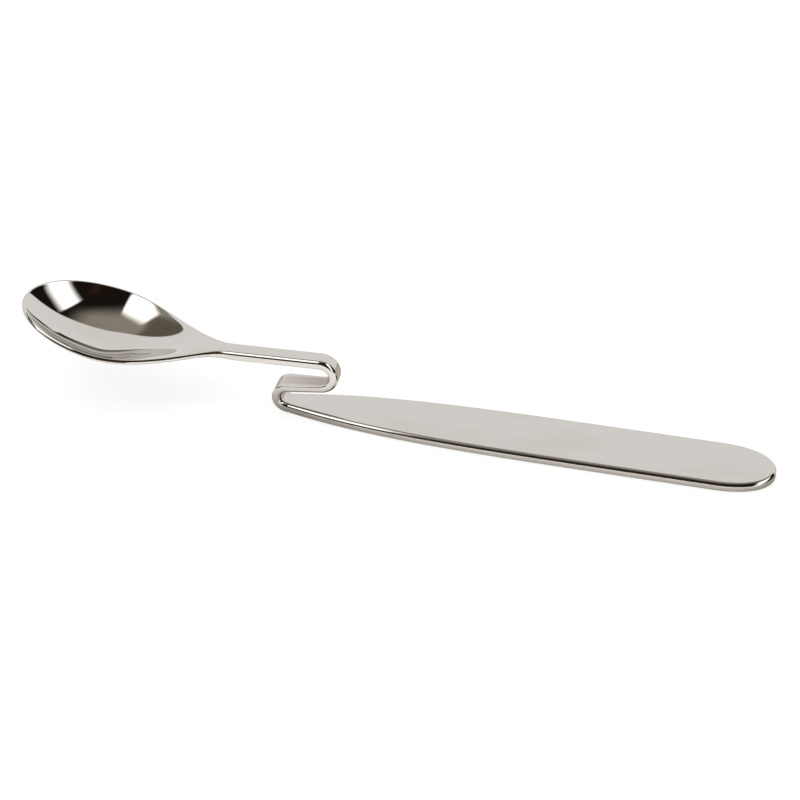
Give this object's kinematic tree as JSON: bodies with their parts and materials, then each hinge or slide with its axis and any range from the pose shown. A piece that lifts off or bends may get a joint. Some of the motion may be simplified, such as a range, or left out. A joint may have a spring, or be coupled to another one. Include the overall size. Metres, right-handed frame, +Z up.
{
  "type": "cocktail spoon",
  "caption": "Slender steel spoon with an egg-shaped bowl, a narrow stem, an S-shaped hook that hangs on the rim of a glass or jar, and a long flat round-ended handle.",
  "frame": {"origin": "middle of the overall length and width, on the plane of the handle's flat underside", "axes": "+X along the spoon towards the handle's end, the bowl at -X; +Y across the spoon; +Z up, the way the bowl opens"},
  "size_m": [0.175, 0.0276, 0.0212],
  "materials": {
    "polished_steel": "stainless steel polished like a mirror",
    "satin_steel": "stainless steel with a fine satin brushing along the strip"
  },
  "bodies": {
    "root": {"bowl": "polished_steel", "neck": "polished_steel", "stem": "satin_steel", "upper_bend": "satin_steel", "bridge": "satin_steel", "lower_bend": "satin_steel", "handle": "satin_steel"}
  },
  "joints": []
}
